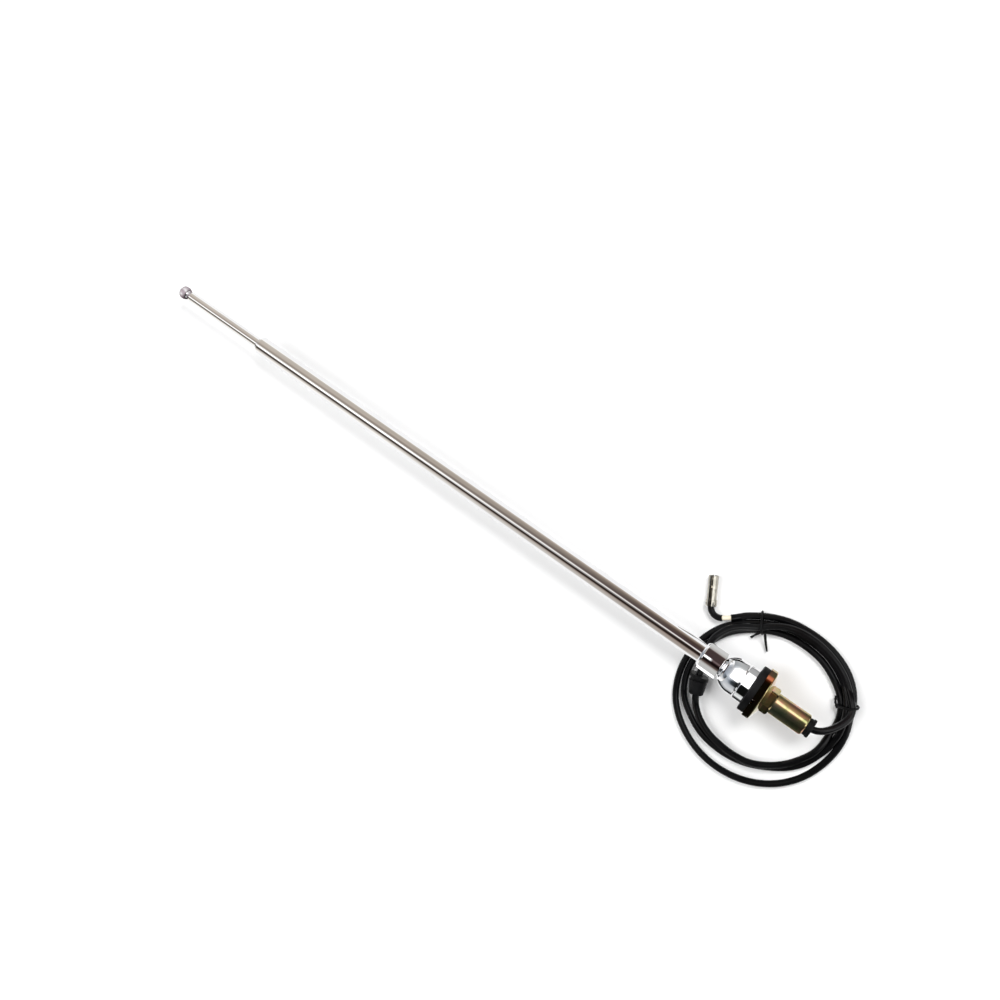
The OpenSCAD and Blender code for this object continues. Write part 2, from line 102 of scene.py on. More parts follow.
def hexColor(text):
    channels = [int(text[i:i + 2], 16) / 255 for i in (1, 3, 5)]
    return [c / 12.92 if c <= 0.04045 else ((c + 0.055) / 1.055) ** 2.4 for c in channels] + [1.0]


def addNode(tree, kind, settings=None, links=None, **attributes):
    node = tree.nodes.new(kind)
    for name, value in attributes.items():
        setattr(node, name, value)
    for socket, value in (settings or {}).items():
        node.inputs[socket].default_value = value
    for socket, source in (links or {}).items():
        tree.links.new(source, node.inputs[socket])
    return node


def fillRamp(ramp, stops):
    elements = ramp.color_ramp.elements
    while len(elements) > 1:
        elements.remove(elements[-1])
    elements[0].position = stops[0][0]
    elements[0].color = hexColor(stops[0][1])
    for position, color in stops[1:]:
        elements.new(position).color = hexColor(color)
    return ramp


def emptyTree(owner):
    owner.use_nodes = True
    owner.node_tree.nodes.clear()
    return owner.node_tree


patternPlan = {"toneDetail": 4.0, "glossDetail": 3.0, "skinDetail": 2.0,
               "toneFrom": 0.34, "toneTo": 0.66, "glossFrom": 0.3, "glossTo": 0.7, "specular": 0.5}


def finishMaterial(name, plan):
    # one noise mixes the tones, a second varies the gloss, and a third gives the skin its bump
    material = bpy.data.materials.new(name)
    tree = emptyTree(material)
    place = addNode(tree, "ShaderNodeTexCoord").outputs["Object"]
    tone, gloss, skin = [addNode(tree, "ShaderNodeTexNoise", {"Scale": 1 / (plan[kind + "Size"] * mm),
                                 "Detail": patternPlan[kind + "Detail"]}, {"Vector": place}).outputs["Fac"]
                         for kind in ("tone", "gloss", "skin")]
    first, last = patternPlan["toneFrom"], patternPlan["toneTo"]
    colors = plan["colors"]
    stops = [(first + (last - first) * i / (len(colors) - 1), color) for i, color in enumerate(colors)]
    ramp = fillRamp(addNode(tree, "ShaderNodeValToRGB", links={"Fac": tone}), stops)
    roughLow, roughHigh = plan["rough"]
    rough = addNode(tree, "ShaderNodeMapRange", {"From Min": patternPlan["glossFrom"],
                    "From Max": patternPlan["glossTo"], "To Min": roughLow, "To Max": roughHigh},
                    {"Value": gloss})
    bump = addNode(tree, "ShaderNodeBump", {"Strength": plan["bump"], "Distance": plan["bumpDepth"] * mm},
                   {"Height": skin})
    shader = addNode(tree, "ShaderNodeBsdfPrincipled", {"Metallic": plan["metallic"],
                     "Specular IOR Level": plan.get("specular", patternPlan["specular"])},
                     {"Base Color": ramp.outputs["Color"], "Roughness": rough.outputs["Result"],
                      "Normal": bump.outputs["Normal"]})
    addNode(tree, "ShaderNodeOutputMaterial", links={"Surface": shader.outputs["BSDF"]})
    return material


# sizes are in mm, and the grain of a skin, finer in truth, is drawn coarse enough to show
finishes = {
    # bright chrome over polished nickel: a clear mirror with the faintest waves and handling marks
    "chromePlate": {"colors": ("#F2F2F3", "#F8F8F9"), "toneSize": 40, "metallic": 1.0, "glossSize": 9,
                    "rough": (0.012, 0.035), "skinSize": 26, "bump": 0.3, "bumpDepth": 0.3,
                    "slot": "chrome"},
    # zinc with a yellow chromate film: pale gold going to olive and pink where the film is thick
    "yellowPassivatedZinc": {"colors": ("#989A6A", "#C0AF80", "#CC9E86"), "toneSize": 8, "metallic": 1.0,
                             "glossSize": 3, "rough": (0.04, 0.08), "skinSize": 0.6, "bump": 0.04,
                             "bumpDepth": 0.03, "slot": "zinc"},
    # moulded EPDM rubber: deep matt black
    "epdmRubber": {"colors": ("#0A0A0B", "#101011"), "toneSize": 6, "metallic": 0.0, "glossSize": 4,
                   "rough": (0.5, 0.65), "skinSize": 0.4, "bump": 0.12, "bumpDepth": 0.05, "specular": 0.16,
                   "slot": "rubber"},
    # extruded PVC sheath: deep black with a soft gloss that breaks up a little along the cable
    "pvcSheath": {"colors": ("#060607", "#0B0B0C"), "toneSize": 12, "metallic": 0.0, "glossSize": 5,
                  "rough": (0.16, 0.26), "skinSize": 1.2, "bump": 0.06, "bumpDepth": 0.05, "specular": 0.2,
                  "slot": "cable"},
    # thin PVC over wire: duller than the cable
    "pvcTwistTie": {"colors": ("#060607", "#0C0C0D"), "toneSize": 3, "metallic": 0.0, "glossSize": 2,
                    "rough": (0.35, 0.5), "skinSize": 0.5, "bump": 0.1, "bumpDepth": 0.04, "specular": 0.2,
                    "slot": "tie"},
    # polyethylene core of the cable: ivory, waxy
    "polyethyleneCore": {"colors": ("#D8CDB4", "#EEE7D6"), "toneSize": 4, "metallic": 0.0, "glossSize": 3,
                         "rough": (0.35, 0.45), "skinSize": 0.7, "bump": 0.06, "bumpDepth": 0.03,
                         "slot": "nylon"},
    # bright nickel on pressed brass: warmer and softer than chrome
    "nickelPlate": {"colors": ("#A9A59A", "#C8C4B9"), "toneSize": 4, "metallic": 1.0, "glossSize": 2,
                    "rough": (0.07, 0.15), "skinSize": 0.8, "bump": 0.08, "bumpDepth": 0.04,
                    "slot": "nickel"},
    # turned brass: warm yellow with the soft sheen of fine tool marks
    "turnedBrass": {"colors": ("#B98F4C", "#D2AC66"), "toneSize": 5, "metallic": 1.0, "glossSize": 2,
                    "rough": (0.25, 0.35), "skinSize": 0.6, "bump": 0.08, "bumpDepth": 0.04,
                    "slot": "brass"},
    # plain turned steel, for the screw and washer: grey, with a dull sheen
    "plainSteel": {"colors": ("#8C8D90", "#A9AAAD"), "toneSize": 4, "metallic": 1.0, "glossSize": 2,
                   "rough": (0.28, 0.4), "skinSize": 0.6, "bump": 0.08, "bumpDepth": 0.04, "slot": "steel"},
}
materials = {name: finishMaterial(name, plan) for name, plan in finishes.items()}
slotMaterials = {plan["slot"]: materials[name] for name, plan in finishes.items()}
print("materials made: %d" % len(materials))


# Helpers that turn a mesh or a curve into a piece of the object

# how finely the pieces are made, with angles in degrees and lengths in mm
meshPlan = {"sharpAngle": 38, "normalWeight": 80, "turnSteps": 160, "cornerSteps": 6, "cableSteps": 6,
            "mergeGap": 0.001}


def keepPiece(name, shape, material, body, replaced=()):
    piece = bpy.data.objects.new(name, shape)
    bpy.context.scene.collection.objects.link(piece)
    shape.materials.append(materials[material])
    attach(piece, body)
    if replaced:
        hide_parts(*replaced)
    return piece


def smoothMesh(bm, name, sharpAngle=meshPlan["sharpAngle"]):
    bmesh.ops.recalc_face_normals(bm, faces=bm.faces)
    mesh = bpy.data.meshes.new(name)
    bm.to_mesh(mesh)
    bm.free()
    mesh.shade_smooth()
    mesh.set_sharp_from_angle(angle=math.radians(sharpAngle))
    return mesh


def weighNormals(piece):
    modifier = piece.modifiers.new("evenNormals", "WEIGHTED_NORMAL")
    modifier.keep_sharp = True
    modifier.weight = meshPlan["normalWeight"]
    return piece


def turnedMesh(profile, steps=meshPlan["turnSteps"]):
    # profile: (station along the mast, radius) in mm, as a closed outline or one that ends on the axis
    bm = bmesh.new()
    points = [bm.verts.new(((seatX + s) * mm, 0, (axisZ + r) * mm)) for s, r in profile]
    onAxis = profile[0][1] == 0 and profile[-1][1] == 0
    pairs = list(zip(points, points[1:])) + ([] if onAxis else [(points[-1], points[0])])
    edges = [bm.edges.new(pair) for pair in pairs]
    bmesh.ops.spin(bm, geom=points + edges, cent=(0, 0, axisZ * mm), axis=(1, 0, 0), angle=2 * math.pi,
                   steps=steps, use_merge=True)
    bmesh.ops.remove_doubles(bm, verts=bm.verts, dist=meshPlan["mergeGap"] * mm)
    return bm


def arc(s, r, radius, fromAngle, toAngle, steps=meshPlan["cornerSteps"]):
    # angle 0 points along +s, 90 points outwards
    angles = [math.radians(fromAngle + (toAngle - fromAngle) * i / steps) for i in range(steps + 1)]
    return [(s + radius * math.cos(a), r + radius * math.sin(a)) for a in angles]


def turnedPiece(name, profile, material, body, replaced, **shape):
    mesh = smoothMesh(turnedMesh(profile, **shape), name)
    return weighNormals(keepPiece(name, mesh, material, body, replaced))


def applyModifiers(piece):
    depsgraph = bpy.context.evaluated_depsgraph_get()
    mesh = bpy.data.meshes.new_from_object(piece.evaluated_get(depsgraph), depsgraph=depsgraph)
    piece.modifiers.clear()
    old = piece.data
    piece.data = mesh
    bpy.data.meshes.remove(old)


def cutPiece(piece, cutterBm, operation="DIFFERENCE"):
    # carves a piece with a mesh of its own that is removed again
    cutterMesh = bpy.data.meshes.new("cutter")
    bmesh.ops.recalc_face_normals(cutterBm, faces=cutterBm.faces)
    cutterBm.to_mesh(cutterMesh)
    cutterBm.free()
    cutter = bpy.data.objects.new("cutter", cutterMesh)
    bpy.context.scene.collection.objects.link(cutter)
    modifier = piece.modifiers.new("cut", "BOOLEAN")
    modifier.operation = operation
    modifier.object = cutter
    modifier.solver = "EXACT"
    applyModifiers(piece)
    bpy.data.objects.remove(cutter)
    bpy.data.meshes.remove(cutterMesh)


# Cable: its lead is a list of places, and its coil goes through stations round the ring, as degrees, radius
# and height. A station without a height lies on the floor. All are in mm, the ring's middle from the seat

cablePlan = {
    "diameter": 6.1,
    "ring": (-7.5, 8.3),
    "lead": [(-36, 0, 23.8), (-46, 0, 23.8), (-52, 0, 23.8), (-57, -1.2, 23.4), (-61.5, -4.0, 22.5),
             (-65.6, -8.4, 20.8), (-69.4, -14.2, 18.0), (-71.8, -19.8, 15.2), (-72.6, -25.6, 12.9),
             (-70.9, -31.3, 11.5)],
    "turns": [
        (-142, 73.8, 10.9), (-136, 73.2, 10.4), (-127, 72.7, 8.8), (-105, 70.6, 8.4), (-85, 69.2, 8.4),
        (-76, 68.0, 8.9), (-65, 65.5, 9.15), (-56, 63.4, 8.4), (-50, 63.8, 8.4), (-38, 66.1, 8.5),
        (-30, 66.6, 8.5), (-18, 65.4, 9.3), (-8, 61.4, 7.8), (3, 57.4, 6.2), (13.5, 56.0, 8.4),
        (25, 55.3, 8.6), (37, 56.6, 8.4), (51, 57.0, 6.6), (66, 56.2, 6.4), (83, 55.1, 6.6),
        (98, 55.2, 7.6), (113, 56.1, 8.5), (128, 56.4, 8.4), (142, 57.4, 7.8), (156, 58.7, 7.4),
        (170, 60.8, 7.2), (180, 61.4, 5.8), (185, 61.6, 4.6), (190, 62.2, 3.6), (200, 64.6), (211, 65.4),
        (222, 64.7), (233, 63.2), (249, 61.8), (258, 60.9), (270, 60.1), (282, 60.1), (296, 60.0),
        (306, 60.3), (318, 61.5), (330, 63.3), (342, 64.5), (354, 65.6), (368, 66.7), (378, 67.3),
        (390, 67.5), (396, 67.0), (402, 65.9), (410, 64.4), (423, 62.8), (446, 60.0), (473, 58.9),
        (488, 59.4), (513, 63.3), (530, 65.2), (541, 67.1, 3.5), (545, 67.5, 4.7), (550, 68.1, 6.4),
        (560, 69.0, 7.6), (568, 69.8, 7.5), (577, 70.3, 6.4), (586, 70.2, 4.4), (593, 69.5), (609, 68.1),
        (618, 67.1), (630, 66.2), (642, 66.2), (656, 66.1), (666, 66.3), (672, 66.9), (678, 67.6),
        (684, 68.6), (690, 69.5), (702, 70.6), (714, 71.8), (728, 72.9), (740, 73.8), (756, 75.0),
        (768, 74.9), (779, 74.5), (797, 74.3), (814, 74.2), (835, 74.2), (852, 74.0), (869, 73.5),
        (886, 72.9), (900, 73.1), (905, 73.3), (915, 73.4), (924, 73.4), (931, 74.7), (942, 76.0),
        (953, 75.9), (969, 74.3), (978, 73.3), (990, 72.3), (1002, 72.3), (1016, 72.2), (1026, 72.5),
        (1030, 72.8, 3.2), (1035, 73.4, 3.6)],
    "end": [(49.8, -38.2, 4.3), (52.34, -36.18, 4.9)],
    "degreeStep": 4,
    "lengthStep": 2.0,
}


def hermite(stations, x, column):
    i = max(j for j in range(len(stations) - 1) if stations[j][0] <= x or j == 0)
    a, b = stations[i], stations[i + 1]

    def slope(j):
        lower, upper = stations[max(j - 1, 0)], stations[min(j + 1, len(stations) - 1)]
        return (upper[column] - lower[column]) / (upper[0] - lower[0])
    span = b[0] - a[0]
    t = (x - a[0]) / span
    return ((2 * t ** 3 - 3 * t * t + 1) * a[column] + (t ** 3 - 2 * t * t + t) * span * slope(i)
            + (3 * t * t - 2 * t ** 3) * b[column] + (t ** 3 - t * t) * span * slope(i + 1))


def smoothRoute(points, stepLength):
    # Catmull-Rom through the points, about stepLength apart
    route = []
    for i in range(len(points) - 1):
        a, b = points[max(i - 1, 0)], points[i]
        c, d = points[i + 1], points[min(i + 2, len(points) - 1)]
        steps = max(1, round((c - b).length / stepLength))
        for k in range(steps):
            t = k / steps
            route.append(0.5 * (2 * b + (c - a) * t + (2 * a - 5 * b + 4 * c - d) * t * t
                                + (3 * b - a - 3 * c + d) * t ** 3))
    return route + [points[-1]]


def cableRoute(plan):
    radius = plan["diameter"] / 2
    ringX, ringY = plan["ring"]
    stations = [station if len(station) == 3 else (*station, radius) for station in plan["turns"]]
    points = [Vector(p) for p in plan["lead"]]
    for degrees in range(stations[0][0], stations[-1][0] + 1, plan["degreeStep"]):
        reach = hermite(stations, degrees, 1)
        height = max(hermite(stations, degrees, 2), radius)
        angle = math.radians(degrees)
        points.append(Vector((ringX + reach * math.cos(angle), ringY + reach * math.sin(angle), height)))
    points += [Vector(p) for p in plan["end"]]
    return [(p + Vector((seatX, 0, 0))) * mm for p in smoothRoute(points, plan["lengthStep"])]


def makeCurve(name, route, radius, material, body, replaced=(), cyclic=False):
    curve = bpy.data.curves.new(name, "CURVE")
    curve.dimensions = "3D"
    curve.bevel_depth = radius * mm
    curve.bevel_resolution = meshPlan["cableSteps"]
    curve.use_fill_caps = True
    spline = curve.splines.new("POLY")
    spline.points.add(len(route) - 1)
    for point, place in zip(spline.points, route):
        point.co = (*place, 1)
    spline.use_smooth = True
    spline.use_cyclic_u = cyclic
    return keepPiece(name, curve, material, body, replaced)


route = cableRoute(cablePlan)
cable = makeCurve("cable", route, cablePlan["diameter"] / 2, "pvcSheath", "base",
                  ("cable_lead", "cable_coil"))


# Chrome mast: three tubes with rolled mouths, and the ball on its neck

fitGap = 0.05  # all round, between pieces that are pressed or slid together
mastPlan = {"wall": 0.7, "mouth": 1.6, "tipRound": 0.6, "neckRadius": 3.92, "plug": 10}


def tubeProfile(node, wall, mouthRadius, mouth):
    start, end, radius = turnedSize(node)
    bore = radius - wall
    rolled = arc(end - wall, bore, wall, 90, 0)
    return [(start, bore), (start, radius), *rolled, (end, mouthRadius), (end - mouth, mouthRadius),
            (end - mouth, bore)]


def tipProfile(plan):
    start, end, radius = turnedSize("tip_tube")
    bore, edge = radius - plan["wall"], plan["tipRound"]
    return [(start, bore), (start, radius), *arc(end - edge, radius - edge, edge, 90, 0), (end, bore)]


def ballProfile(plan):
    tubeEnd, tubeRadius = turnedSize("tip_tube")[1:]
    end, radius = turnedSize("tip_button")[1:]
    bore = tubeRadius - plan["wall"]
    neckAngle = math.degrees(math.pi - math.asin(plan["neckRadius"] / radius))
    return [(tubeEnd - plan["plug"], 0), (tubeEnd - plan["plug"], bore), (tubeEnd, bore),
            (tubeEnd, plan["neckRadius"]), *arc(end - radius, 0, radius, neckAngle, 0, 48)[:-1], (end, 0)]


# each mouth closes on the tube that slides in it
for name, node, inner, body in (("outerTube", "outer_tube", "middle_tube", "mast"),
                                ("middleTube", "middle_tube", "tip_tube", "middle_section")):
    profile = tubeProfile(node, mastPlan["wall"], turnedSize(inner)[2] + fitGap, mastPlan["mouth"])
    turnedPiece(name, profile, "chromePlate", body, [node])
turnedPiece("tipTube", tipProfile(mastPlan), "chromePlate", "tip_section", ["tip_tube"])
turnedPiece("tipBall", ballProfile(mastPlan), "chromePlate", "tip_section", ["tip_button"])
print("mast turned")


# Ferrule, dome and collar of the swivel, and the gasket under them

ferruleStart, ferruleEnd, ferruleRadius = turnedSize("mast_ferrule")
collarStart, collarEnd, collarRadius = turnedSize("base_collar")
gasketStart, gasketEnd, gasketRadius = turnedSize("rubber_gasket")
domeStart, domeEnd, domeRadius = turnedSize("swivel_dome")
swivelPlan = {"cupGap": 0.3, "shoulder": (4.4, 2.8), "shoulderStep": 9, "web": 4.6, "edge": 0.8,
              "groove": 0.8, "lip": 1.9, "headIn": 2.3, "neckIn": 2.8, "boreRadius": 3.5, "domeEdge": 0.6,
              "collarEdge": 0.9, "slotThickness": 6.1, "slotMiddle": 0.45, "slotHalf": 4.3, "slotReach": 3,
              "eye": 7.8, "slotAngles": (0, -20, -40, -60)}
hinge = domeEnd - domeRadius
headRadius = collarRadius - swivelPlan["headIn"]
neckRadius = headRadius - swivelPlan["neckIn"]
domeBase = collarEnd + swivelPlan["groove"]
lipBottom = collarEnd - swivelPlan["lip"]


def ferruleProfile(plan):
    cupRadius = domeRadius + plan["cupGap"]
    tubeSeat = hinge + cupRadius + plan["web"]
    tubeBore = turnedSize("outer_tube")[2] + fitGap
    mouthAngle = math.degrees(math.acos((ferruleStart - hinge) / cupRadius))
    length, drop = plan["shoulder"]
    angles = [math.radians(degrees) for degrees in range(0, 91, plan["shoulderStep"])]
    shoulder = [(ferruleEnd - length * (1 - math.sin(a)), ferruleRadius - drop * (1 - math.cos(a)))
                for a in angles]
    edge = plan["edge"]
    return [*arc(hinge, 0, cupRadius, 0, mouthAngle, 12),
            *arc(ferruleStart + edge, ferruleRadius - edge, edge, 180, 90), *shoulder,
            (ferruleEnd, tubeBore), (tubeSeat, tubeBore), (tubeSeat, 0)]


def domeProfile(plan):
    bore, edge = plan["boreRadius"], plan["domeEdge"]
    return [(domeStart, 0), (domeStart, bore), (lipBottom, bore), (lipBottom, neckRadius),
            (domeBase, neckRadius), (domeBase, domeRadius - edge),
            *arc(domeBase + edge, domeRadius - edge, edge, 180, 90, 5),
            *arc(hinge, 0, domeRadius, 90, 0, 48)[:-1], (domeEnd, 0)]


def collarProfile(plan):
    back, front = plan["edge"], plan["collarEdge"]
    neckBore = neckRadius + fitGap
    return [(collarStart, headRadius), *arc(collarStart + back, collarRadius - back, back, 180, 90),
            *arc(collarEnd - front, collarRadius - front, front, 90, 0), (collarEnd, neckBore),
            (lipBottom, neckBore), (lipBottom, headRadius)]


def makeSlot(piece, plan):
    # a box for the straight mast and for each step of its tilt, and a disc for the eye
    middle = Vector(((seatX + hinge) * mm, 0, (axisZ - plan["slotMiddle"]) * mm))
    thick, half, reach = plan["slotThickness"], plan["slotHalf"], domeRadius + plan["slotReach"]
    for degrees in plan["slotAngles"]:
        bm = bmesh.new()
        bmesh.ops.create_cube(bm, size=1)
        bmesh.ops.scale(bm, vec=(reach * mm, 2 * half * mm, thick * mm), verts=bm.verts)
        bmesh.ops.translate(bm, vec=(reach / 2 * mm, 0, 0), verts=bm.verts)
        turn = Matrix.Rotation(math.radians(degrees), 3, "Z")
        bmesh.ops.rotate(bm, cent=(0, 0, 0), matrix=turn, verts=bm.verts)
        bmesh.ops.translate(bm, vec=middle, verts=bm.verts)
        cutPiece(piece, bm)
    bm = bmesh.new()
    bmesh.ops.create_cone(bm, cap_ends=True, segments=64, radius1=plan["eye"] * mm, radius2=plan["eye"] * mm,
                          depth=thick * mm)
    bmesh.ops.translate(bm, vec=middle, verts=bm.verts)
    cutPiece(piece, bm)


turnedPiece("ferrule", ferruleProfile(swivelPlan), "chromePlate", "mast", ["mast_ferrule"])
dome = turnedPiece("dome", domeProfile(swivelPlan), "chromePlate", "base", ["swivel_dome"], steps=192)
makeSlot(dome, swivelPlan)
weighNormals(dome)
turnedPiece("collar", collarProfile(swivelPlan), "chromePlate", "base", ["base_collar"], steps=192)

stemBore = 8.05  # radius of what sits on the M16 stem
gasketPlan = {"backEdge": 0.3, "frontEdge": 1.1}


def gasketProfile(plan):
    back, front = plan["backEdge"], plan["frontEdge"]
    return [(gasketStart, stemBore), (gasketStart, gasketRadius - back), (gasketStart + back, gasketRadius),
            *arc(gasketEnd - front, gasketRadius - front, front, 90, 0), (gasketEnd, stemBore)]


turnedPiece("gasket", gasketProfile(gasketPlan), "epdmRubber", "base", ["rubber_gasket"], steps=192)
print("swivel and gasket turned")


# Claw washer, nut, tube and gland behind the wing

washerBack, _, washerRadius = turnedSize("claw_washer")
washerPlan = {"thickness": 1.9, "rim": 6.5, "hub": 13, "hubStep": 1, "edge": 1.2, "edgeTo": 155,
              "innerEdge": 0.6, "gapWidth": 5, "gapDepth": 2.2, "gapHeight": 12, "claws": 3, "turn": 10}


def washerProfile(plan):
    wall, rim, edge = plan["thickness"], -plan["rim"], plan["edge"]
    face = washerBack + wall
    return [(0, washerRadius - wall), (0, washerRadius),
            *arc(rim + edge, washerRadius - edge, edge, 90, plan["edgeTo"]), (washerBack, plan["hub"]),
            (washerBack, stemBore), (face, stemBore), (face, plan["hub"] - plan["hubStep"]),
            (rim + plan["innerEdge"], washerRadius - wall)]


def cutClaws(piece, plan):
    for i in range(plan["claws"]):
        bm = bmesh.new()
        bmesh.ops.create_cube(bm, size=1)
        gap = (2 * plan["gapDepth"] * mm, plan["gapWidth"] * mm, plan["gapHeight"] * mm)
        bmesh.ops.scale(bm, vec=gap, verts=bm.verts)
        bmesh.ops.translate(bm, vec=(0, 0, washerRadius * mm), verts=bm.verts)
        turn = Matrix.Rotation(math.radians(-plan["turn"] - i * 360 / plan["claws"]), 3, "X")
        bmesh.ops.rotate(bm, cent=(0, 0, 0), matrix=turn, verts=bm.verts)
        bmesh.ops.translate(bm, vec=(seatX * mm, 0, axisZ * mm), verts=bm.verts)
        cutPiece(piece, bm)


washer = turnedPiece("clawWasher", washerProfile(washerPlan), "yellowPassivatedZinc", "base",
                     ["claw_washer"], steps=192)
cutClaws(washer, washerPlan)
weighNormals(washer)

nutBack, nutFront, _ = turnedSize("clamp_nut")
nutPlan = {"flats": 22.0, "turn": -14, "chamfer": 0.5, "edge": 0.35, "ridge": 80, "overlap": 1, "sharp": 25}


def makeNut(plan):
    length, past, sharp = nutFront - nutBack, plan["overlap"], plan["sharp"]
    corner = plan["flats"] / 2 / math.cos(math.radians(30))
    bm = bmesh.new()
    bmesh.ops.create_cone(bm, cap_ends=True, segments=6, radius1=corner * mm, radius2=corner * mm,
                          depth=length * mm)
    for degrees, axis in ((90, "Y"), (180 - plan["turn"], "X")):
        turn = Matrix.Rotation(math.radians(degrees), 3, axis)
        bmesh.ops.rotate(bm, cent=(0, 0, 0), matrix=turn, verts=bm.verts)
    bmesh.ops.translate(bm, vec=((seatX + nutBack + length / 2) * mm, 0, axisZ * mm), verts=bm.verts)
    ridges = [e for e in bm.edges if e.calc_face_angle() < math.radians(plan["ridge"])]
    bmesh.ops.bevel(bm, geom=ridges, offset=plan["edge"] * mm, offset_type="OFFSET", segments=3, profile=0.5,
                    affect="EDGES", material=-1)
    nut = keepPiece("clampNut", smoothMesh(bm, "clampNut", sharp), "yellowPassivatedZinc", "base",
                    ["clamp_nut"])
    back, front = nutBack - past, nutFront + past
    across = plan["flats"] / 2 + plan["chamfer"]
    cone = [(back, 0), (back, across - past), (front, across + length + past), (front, 0)]
    bore = [(back, 0), (back, stemBore), (front, stemBore), (front, 0)]
    cutPiece(nut, turnedMesh(cone, steps=96), "INTERSECT")
    cutPiece(nut, turnedMesh(bore, steps=96))
    nut.data.set_sharp_from_angle(angle=math.radians(sharp))
    weighNormals(nut)


makeNut(nutPlan)

tubeBack, _, tubeRadius = turnedSize("underwing_tube")
canPlan = {"round": 2.4, "wall": 1.0, "floor": 2.0, "hole": 5.5, "innerRound": 1.4, "thread": 8}
canFloor = tubeBack + canPlan["floor"]


def canProfile(plan):
    edge, inner, inside = plan["round"], plan["innerRound"], tubeRadius - plan["wall"]
    threadEnd = nutBack - plan["thread"]
    return [(nutBack, stemBore), (nutBack, tubeRadius),
            *arc(tubeBack + edge, tubeRadius - edge, edge, 90, 180, 10), (tubeBack, plan["hole"]),
            (canFloor, plan["hole"]), (canFloor, inside - inner), (canFloor + inner, inside),
            (threadEnd, inside), (threadEnd, stemBore)]


glandBack, glandFront, glandRadius = turnedSize("cable_gland")
glandPlan = {"neck": 7.9, "lip": 2.1, "slope": 0.7, "bore": 3.15, "dish": 1.2, "dishRadius": 5.2,
             "dishEdge": 0.9, "edge": 0.3, "tail": 4.15}


def glandProfile(plan):
    dish, lip, edge = glandBack + plan["dish"], glandBack + plan["lip"], plan["edge"]
    waist = canPlan["hole"] - fitGap
    return [(dish, plan["bore"]), (dish, plan["dishRadius"]), (glandBack, glandRadius - plan["dishEdge"]),
            (glandBack, glandRadius - edge), (glandBack + edge, glandRadius), (lip, glandRadius),
            (lip + plan["slope"], plan["neck"]), (tubeBack, plan["neck"]), (tubeBack, waist),
            (canFloor, waist), (glandFront, plan["tail"]), (glandFront, plan["bore"])]


turnedPiece("underwingTube", canProfile(canPlan), "yellowPassivatedZinc", "base", ["underwing_tube"])
turnedPiece("gland", glandProfile(glandPlan), "epdmRubber", "base", ["cable_gland"], steps=128)
print("wing fittings turned")


# Wing grommet on the cable, and the two twist ties of the coil

grommetPlan = {"place": (46.9, 21.4, 8.6), "turn": 112.5, "bore": 3.1, "flangeRadius": 8.6, "flange": 3.2,
               "edge": 0.4, "groove": 6.9, "grooveEnd": 4.4, "step": 0.3, "body": (8.1, 6.3),
               "bodyEdge": 0.6, "length": 17.5, "tilt": 13}


def grommetProfile(plan):
    big, small = plan["body"]
    flange, radius, edge, length = plan["flange"], plan["flangeRadius"], plan["edge"], plan["length"]
    return [(0, plan["bore"]), (0, radius - edge), (edge, radius), (flange - edge, radius),
            (flange, radius - edge), (flange, plan["groove"]), (plan["grooveEnd"], plan["groove"]),
            (plan["grooveEnd"] + plan["step"], big), (length - plan["bodyEdge"], small),
            (length, small - plan["bodyEdge"]), (length, plan["bore"])]


def makeGrommet(plan):
    bm = turnedMesh(grommetProfile(plan), steps=96)
    bmesh.ops.translate(bm, vec=(-seatX * mm, 0, -axisZ * mm), verts=bm.verts)
    grooveMiddle = (plan["flange"] + plan["grooveEnd"]) / 2
    for vert in bm.verts:
        if vert.co.x < grooveMiddle * mm:  # the flange leans on the body
            vert.co.x += vert.co.y * math.tan(math.radians(plan["tilt"]))
    turn = Matrix.Rotation(math.radians(plan["turn"]), 3, "Z")
    bmesh.ops.rotate(bm, cent=(0, 0, 0), matrix=turn, verts=bm.verts)
    x, y, z = plan["place"]
    bmesh.ops.translate(bm, vec=((seatX + x) * mm, y * mm, z * mm), verts=bm.verts)
    mesh = smoothMesh(bm, "wingGrommet")
    weighNormals(keepPiece("wingGrommet", mesh, "epdmRubber", "base", ["wing_grommet"]))


makeGrommet(grommetPlan)

# a band is a closed line of (ring radius, height) at one ring angle; a tail is a line of places, in mm
tieWire = {"band": 0.95, "strand": 0.75, "twist": 0.5, "pitch": 5.2, "bandStep": 1.0, "tailStep": 0.5,
           "meet": 0.6}
tiePlans = {
    "topTie": {"angle": -57.6, "node": "tie_top",
               "band": [(57.2, 0.95), (56.8, 4.5), (58.5, 9.0), (61.5, 12.2), (65.5, 12.3), (69.8, 9.6),
                        (73.4, 7.6), (76.0, 5.6), (76.4, 2.6), (75.2, 0.95)],
               "tails": [[(22.6, -42.6, 10.4), (20.8, -41.6, 8.4), (18.2, -37.6, 5.6), (15.2, -33.6, 3.6),
                          (11.6, -29.3, 2.2)],
                         [(25.0, -41.2, 10.4), (26.6, -38.0, 7.4), (29.0, -31.6, 2.4)]]},
    "rightTie": {"angle": -147.6, "node": "tie_right",
                 "band": [(62.0, 0.95), (61.6, 4.5), (63.6, 8.4), (67.6, 11.4), (72.0, 15.2), (76.6, 15.0),
                          (79.0, 11.0), (79.6, 5.0), (78.8, 0.95)],
                 "tails": [[(-61.0, -23.8, 7.6), (-59.2, -25.2, 7.0), (-57.4, -27.0, 6.6),
                            (-55.8, -29.4, 6.2), (-54.6, -31.2, 6.0), (-56.2, -31.4, 6.0)]]},
}


